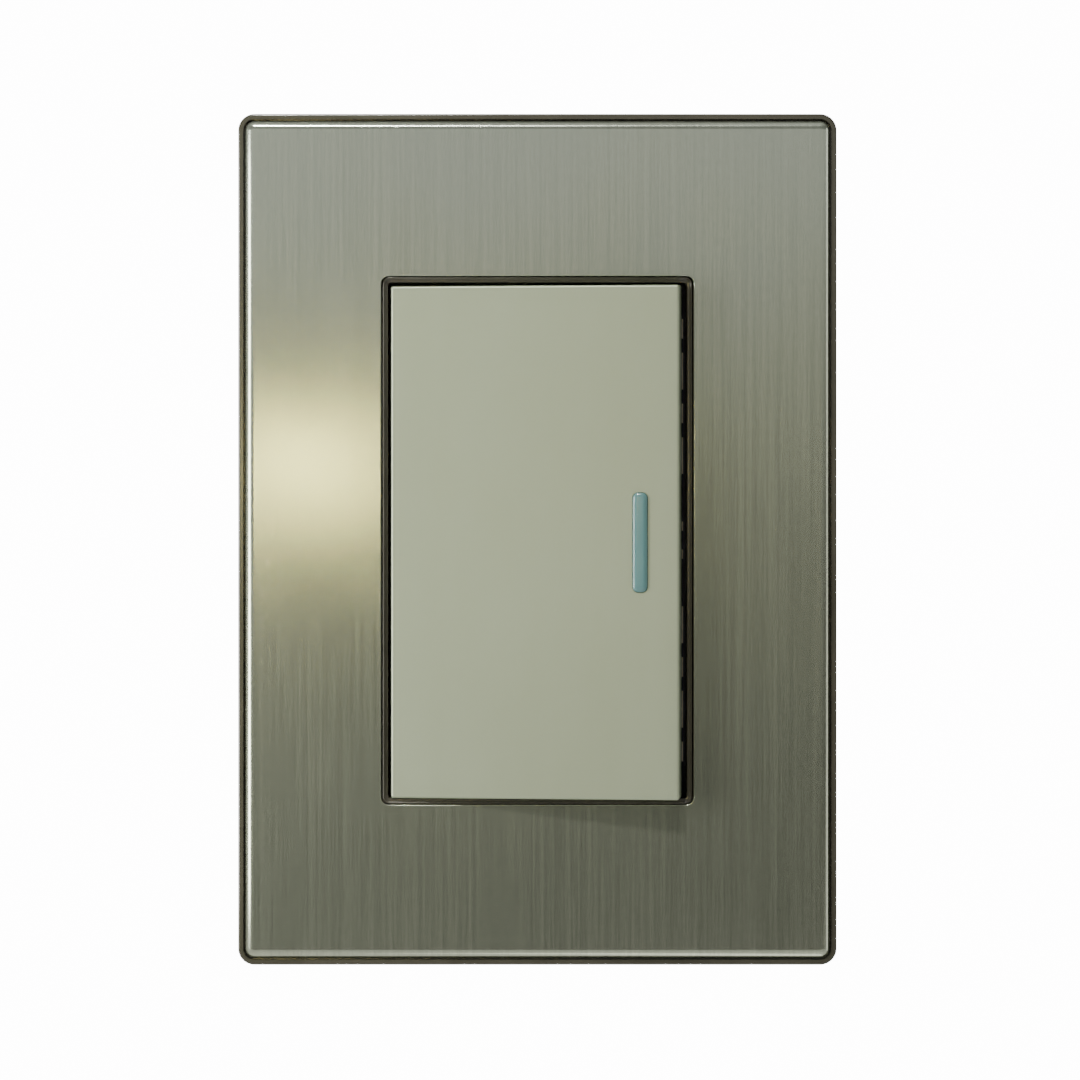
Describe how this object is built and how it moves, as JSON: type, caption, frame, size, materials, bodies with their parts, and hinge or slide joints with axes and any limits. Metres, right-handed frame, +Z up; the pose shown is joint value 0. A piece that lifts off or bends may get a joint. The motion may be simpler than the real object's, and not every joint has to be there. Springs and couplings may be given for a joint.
{
  "type": "rocker wall switch",
  "caption": "Upright rocker wall switch with a brushed steel cover plate, a wide side-to-side rocker and an indicator bar, on a steel bridge for a flush wall box.",
  "frame": {"origin": "midway between the two box-screw holes, on the wall surface", "axes": "+Z up the wall, +Y into the wall, +X to the right for a person who faces the switch"},
  "size_m": [0.083, 0.0358, 0.118],
  "materials": {
    "plate_steel": "vertically brushed stainless steel",
    "frame_bronze": "dark bronze moulding",
    "trim_dark": "dark bronze moulding",
    "bridge_steel": "galvanised",
    "rocker_satin": "satin champagne",
    "carrier_cream": "natural moulded nylon",
    "lens_teal": "tinted clear moulding",
    "plunger_plastic": "acetal",
    "spring_steel": "drawn wire",
    "module_grey": "moulded",
    "module_white": "moulded",
    "screw_zinc": "zinc plated",
    "contact_brass": "rolled strip",
    "contact_silver": "silver alloy",
    "board_brown": "phenolic paper board",
    "lamp_glass": "clear",
    "resistor_body": "lacquered",
    "lead_wire": "tinned copper"
  },
  "bodies": {
    "base": {"front_plate": "plate_steel", "plate_carrier": "frame_bronze", "window_trim": "trim_dark", "mounting_bridge": "bridge_steel", "module_cover": "module_grey", "module_housing": "module_white", "rear_cover": "module_grey", "cover_screws": "screw_zinc", "lever_pivot_pin": "spring_steel", "common_terminal": "contact_brass", "traveller_terminal_left": "contact_brass", "traveller_terminal_right": "contact_brass", "fixed_contacts": "contact_silver", "lamp_board": "board_brown", "locator_lamp": "lamp_glass", "lamp_resistor": "resistor_body", "lamp_leads": "lead_wire"},
    "rocker": {"rocker_cap": "rocker_satin", "rocker_carrier": "carrier_cream", "locator_lens": "lens_teal", "plunger_spring": "spring_steel"},
    "plunger": {"plunger": "plunger_plastic"},
    "contact_lever": {"contact_lever": "contact_brass", "moving_contacts": "contact_silver"},
    "screw_common": {"terminal_screw_common": "screw_zinc"},
    "cage_common": {"terminal_cage_common": "contact_brass"},
    "screw_left": {"terminal_screw_left": "screw_zinc"},
    "cage_left": {"terminal_cage_left": "contact_brass"},
    "screw_right": {"terminal_screw_right": "screw_zinc"},
    "cage_right": {"terminal_cage_right": "contact_brass"}
  },
  "joints": [
    {"name": "rocker_tilt", "type": "hinge", "parent": "base", "child": "rocker", "pos_m": [0, -0.00407, 0], "axis": [0, 0, 1], "range_deg": [0, 9]},
    {"name": "contact_rock", "type": "hinge", "parent": "base", "child": "contact_lever", "pos_m": [0, 0.008, 0], "axis": [0, 0, 1], "range_deg": [-16, 0]},
    {"name": "plunger_slide", "type": "slide", "parent": "rocker", "child": "plunger", "axis": [0.0785, 0.9969, 0], "range_m": [-0.0015, 0], "stiffness_N_per_m": 300, "springref_m": 0.001, "deforming": ["plunger_spring"]},
    {"name": "screw_common_turn", "type": "hinge", "parent": "base", "child": "screw_common", "pos_m": [0, 0.016, -0.024], "axis": [0, -1, 0], "range_deg": [0, 2160]},
    {"name": "cage_common_slide", "type": "slide", "parent": "base", "child": "cage_common", "axis": [0, 1, 0], "range_m": [0, 0.003]},
    {"name": "screw_left_turn", "type": "hinge", "parent": "base", "child": "screw_left", "pos_m": [-0.01, 0.016, 0.024], "axis": [0, -1, 0], "range_deg": [0, 2160]},
    {"name": "cage_left_slide", "type": "slide", "parent": "base", "child": "cage_left", "axis": [0, 1, 0], "range_m": [0, 0.003]},
    {"name": "screw_right_turn", "type": "hinge", "parent": "base", "child": "screw_right", "pos_m": [0.01, 0.016, 0.024], "axis": [0, -1, 0], "range_deg": [0, 2160]},
    {"name": "cage_right_slide", "type": "slide", "parent": "base", "child": "cage_right", "axis": [0, 1, 0], "range_m": [0, 0.003]}
  ],
  "couplings": [
    {"joint": "contact_rock", "follows": "rocker_tilt", "ratio": -1.7777},
    {"joint": "screw_common_turn", "follows": "cage_common_slide", "rad_per_m": 12566},
    {"joint": "screw_left_turn", "follows": "cage_left_slide", "rad_per_m": 12566},
    {"joint": "screw_right_turn", "follows": "cage_right_slide", "rad_per_m": 12566}
  ]
}
